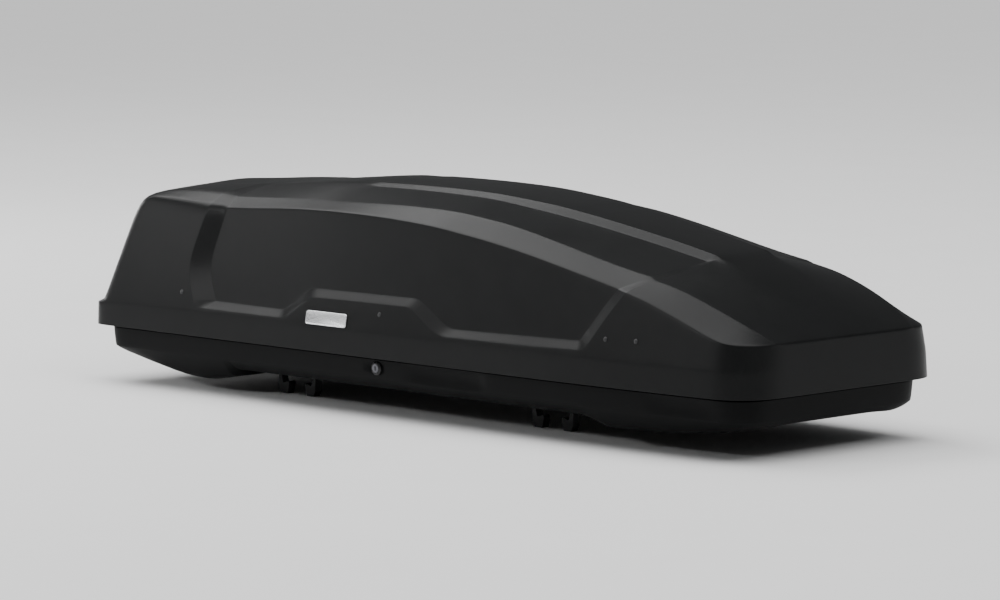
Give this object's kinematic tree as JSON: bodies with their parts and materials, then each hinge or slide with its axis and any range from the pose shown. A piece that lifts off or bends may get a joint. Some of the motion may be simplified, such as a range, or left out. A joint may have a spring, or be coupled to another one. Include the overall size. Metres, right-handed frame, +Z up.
{
  "type": "roof cargo box",
  "caption": "Long low roof box for a car: a base tray clamped to two crossbars and a stepped, tapered lid that opens on either side.",
  "frame": {"origin": "centre of the plan, level with the lowest point of the clamp jaws", "axes": "+X to the nose (forwards), +Y to the left side, +Z up"},
  "size_m": [1.9, 0.63, 0.464],
  "materials": {
    "shell_black": "matt, fine leather-like grain",
    "base_black": "matt, fine grain",
    "trim_black": "satin",
    "catch_plastic": "satin moulded plastic",
    "knob_grey": "satin",
    "jaw_black": "glass-filled plastic",
    "pad_rubber": "matt rubber",
    "rivet_black": "satin black paint",
    "steel_black": "black electro-coat",
    "steel_zinc": "zinc plated",
    "spring_steel": "oiled spring steel",
    "aluminium": "mill finish",
    "lock_chrome": "polished",
    "badge_silver": "satin, plain, no lettering"
  },
  "bodies": {
    "base": {"base_shell": "base_black", "crossbar_pads": "pad_rubber", "channel_screws": "steel_zinc", "lifter_pins_base": "steel_zinc", "lifter_springs": "spring_steel", "catch_seats_left": "catch_plastic", "lock_housing_left": "catch_plastic", "lock_bezel_left": "trim_black", "rail_guides_left": "catch_plastic", "lifter_brackets_base_left": "steel_black", "floor_channel_left": "aluminium", "catch_seats_right": "catch_plastic", "lock_housing_right": "catch_plastic", "lock_bezel_right": "trim_black", "rail_guides_right": "catch_plastic", "lifter_brackets_base_right": "steel_black", "floor_channel_right": "aluminium"},
    "lid": {"lid_shell": "shell_black", "lifter_pins_lid": "steel_zinc", "lid_rivets_left": "rivet_black", "lid_stiffener_left": "aluminium", "badge_left": "badge_silver", "catch_brackets_left": "steel_black", "catch_pegs_left": "steel_zinc", "lifter_brackets_lid_left": "steel_black", "lid_rivets_right": "rivet_black", "lid_stiffener_right": "aluminium", "badge_right": "badge_silver", "catch_brackets_right": "steel_black", "catch_pegs_right": "steel_zinc", "lifter_brackets_lid_right": "steel_black"},
    "lifter_a": {"lifter_arm_a_front": "steel_black", "lifter_arm_a_rear": "steel_black"},
    "lifter_b": {"lifter_arm_b_front": "steel_black", "lifter_arm_b_rear": "steel_black"},
    "key_left": {"lock_barrel_left": "lock_chrome"},
    "lock_rail_left": {"lock_rail_left": "catch_plastic"},
    "clamp_front_left": {"clamp_carriage_front_left": "catch_plastic", "clamp_pins_front_left": "steel_zinc"},
    "knob_front_left": {"clamp_knob_front_left": "knob_grey"},
    "jaw_fore_front_left": {"clamp_jaw_fore_front_left": "jaw_black"},
    "jaw_aft_front_left": {"clamp_jaw_aft_front_left": "jaw_black"},
    "clamp_rear_left": {"clamp_carriage_rear_left": "catch_plastic", "clamp_pins_rear_left": "steel_zinc"},
    "knob_rear_left": {"clamp_knob_rear_left": "knob_grey"},
    "jaw_fore_rear_left": {"clamp_jaw_fore_rear_left": "jaw_black"},
    "jaw_aft_rear_left": {"clamp_jaw_aft_rear_left": "jaw_black"},
    "key_right": {"lock_barrel_right": "lock_chrome"},
    "lock_rail_right": {"lock_rail_right": "catch_plastic"},
    "clamp_front_right": {"clamp_carriage_front_right": "catch_plastic", "clamp_pins_front_right": "steel_zinc"},
    "knob_front_right": {"clamp_knob_front_right": "knob_grey"},
    "jaw_fore_front_right": {"clamp_jaw_fore_front_right": "jaw_black"},
    "jaw_aft_front_right": {"clamp_jaw_aft_front_right": "jaw_black"},
    "clamp_rear_right": {"clamp_carriage_rear_right": "catch_plastic", "clamp_pins_rear_right": "steel_zinc"},
    "knob_rear_right": {"clamp_knob_rear_right": "knob_grey"},
    "jaw_fore_rear_right": {"clamp_jaw_fore_rear_right": "jaw_black"},
    "jaw_aft_rear_right": {"clamp_jaw_aft_rear_right": "jaw_black"}
  },
  "joints": [
    {"name": "lid_open_right", "type": "hinge", "parent": "base", "child": "lifter_a", "pos_m": [0, 0.287, 0.137], "axis": [-1, 0, 0], "range_deg": [0, 50], "stiffness_Nm_per_rad": 6, "springref_deg": 51.57},
    {"name": "lid_open_left", "type": "hinge", "parent": "lifter_a", "child": "lid", "pos_m": [0, -0.287, 0.137], "axis": [1, 0, 0], "range_deg": [0, 50], "stiffness_Nm_per_rad": 6, "springref_deg": 51.57},
    {"name": "lifter_b_turn", "type": "hinge", "parent": "base", "child": "lifter_b", "pos_m": [0, -0.287, 0.137], "axis": [1, 0, 0], "range_deg": [0, 50]},
    {"name": "key_turn_left", "type": "hinge", "parent": "base", "child": "key_left", "pos_m": [-0.068, 0.275, 0.101], "axis": [0, -1, 0], "range_deg": [0, 90]},
    {"name": "lock_slide_left", "type": "slide", "parent": "base", "child": "lock_rail_left", "axis": [-1, 0, 0], "range_m": [0, 0.01649]},
    {"name": "clamp_slide_front_left", "type": "slide", "parent": "base", "child": "clamp_front_left", "axis": [1, 0, 0], "range_m": [-0.012, 0.012]},
    {"name": "knob_turn_front_left", "type": "hinge", "parent": "clamp_front_left", "child": "knob_front_left", "pos_m": [0.31, 0.15, 0.09], "axis": [0, 0, 1], "range_deg": [0, 270]},
    {"name": "jaw_fore_open_front_left", "type": "hinge", "parent": "clamp_front_left", "child": "jaw_fore_front_left", "pos_m": [0.362, 0.15, 0.064], "axis": [0, -1, 0], "range_deg": [0, 32.5]},
    {"name": "jaw_aft_open_front_left", "type": "hinge", "parent": "clamp_front_left", "child": "jaw_aft_front_left", "pos_m": [0.258, 0.15, 0.064], "axis": [0, 1, 0], "range_deg": [0, 32.5]},
    {"name": "clamp_slide_rear_left", "type": "slide", "parent": "base", "child": "clamp_rear_left", "axis": [1, 0, 0], "range_m": [-0.012, 0.012]},
    {"name": "knob_turn_rear_left", "type": "hinge", "parent": "clamp_rear_left", "child": "knob_rear_left", "pos_m": [-0.45, 0.15, 0.09], "axis": [0, 0, 1], "range_deg": [0, 270]},
    {"name": "jaw_fore_open_rear_left", "type": "hinge", "parent": "clamp_rear_left", "child": "jaw_fore_rear_left", "pos_m": [-0.398, 0.15, 0.064], "axis": [0, -1, 0], "range_deg": [0, 32.5]},
    {"name": "jaw_aft_open_rear_left", "type": "hinge", "parent": "clamp_rear_left", "child": "jaw_aft_rear_left", "pos_m": [-0.502, 0.15, 0.064], "axis": [0, 1, 0], "range_deg": [0, 32.5]},
    {"name": "key_turn_right", "type": "hinge", "parent": "base", "child": "key_right", "pos_m": [-0.068, -0.275, 0.101], "axis": [0, -1, 0], "range_deg": [0, 90]},
    {"name": "lock_slide_right", "type": "slide", "parent": "base", "child": "lock_rail_right", "axis": [-1, 0, 0], "range_m": [0, 0.01649]},
    {"name": "clamp_slide_front_right", "type": "slide", "parent": "base", "child": "clamp_front_right", "axis": [1, 0, 0], "range_m": [-0.012, 0.012]},
    {"name": "knob_turn_front_right", "type": "hinge", "parent": "clamp_front_right", "child": "knob_front_right", "pos_m": [0.31, -0.15, 0.09], "axis": [0, 0, 1], "range_deg": [0, 270]},
    {"name": "jaw_fore_open_front_right", "type": "hinge", "parent": "clamp_front_right", "child": "jaw_fore_front_right", "pos_m": [0.362, -0.15, 0.064], "axis": [0, -1, 0], "range_deg": [0, 32.5]},
    {"name": "jaw_aft_open_front_right", "type": "hinge", "parent": "clamp_front_right", "child": "jaw_aft_front_right", "pos_m": [0.258, -0.15, 0.064], "axis": [0, 1, 0], "range_deg": [0, 32.5]},
    {"name": "clamp_slide_rear_right", "type": "slide", "parent": "base", "child": "clamp_rear_right", "axis": [1, 0, 0], "range_m": [-0.012, 0.012]},
    {"name": "knob_turn_rear_right", "type": "hinge", "parent": "clamp_rear_right", "child": "knob_rear_right", "pos_m": [-0.45, -0.15, 0.09], "axis": [0, 0, 1], "range_deg": [0, 270]},
    {"name": "jaw_fore_open_rear_right", "type": "hinge", "parent": "clamp_rear_right", "child": "jaw_fore_rear_right", "pos_m": [-0.398, -0.15, 0.064], "axis": [0, -1, 0], "range_deg": [0, 32.5]},
    {"name": "jaw_aft_open_rear_right", "type": "hinge", "parent": "clamp_rear_right", "child": "jaw_aft_rear_right", "pos_m": [-0.502, -0.15, 0.064], "axis": [0, 1, 0], "range_deg": [0, 32.5]}
  ],
  "couplings": [
    {"joint": "lifter_b_turn", "follows": "lid_open_left", "ratio": 1},
    {"joint": "key_turn_left", "follows": "lock_slide_left", "rad_per_m": 95.238},
    {"joint": "jaw_fore_open_front_left", "follows": "knob_turn_front_left", "ratio": 0.12},
    {"joint": "jaw_aft_open_front_left", "follows": "knob_turn_front_left", "ratio": 0.12},
    {"joint": "jaw_fore_open_rear_left", "follows": "knob_turn_rear_left", "ratio": 0.12},
    {"joint": "jaw_aft_open_rear_left", "follows": "knob_turn_rear_left", "ratio": 0.12},
    {"joint": "key_turn_right", "follows": "lock_slide_right", "rad_per_m": 95.238},
    {"joint": "jaw_fore_open_front_right", "follows": "knob_turn_front_right", "ratio": 0.12},
    {"joint": "jaw_aft_open_front_right", "follows": "knob_turn_front_right", "ratio": 0.12},
    {"joint": "jaw_fore_open_rear_right", "follows": "knob_turn_rear_right", "ratio": 0.12},
    {"joint": "jaw_aft_open_rear_right", "follows": "knob_turn_rear_right", "ratio": 0.12}
  ]
}
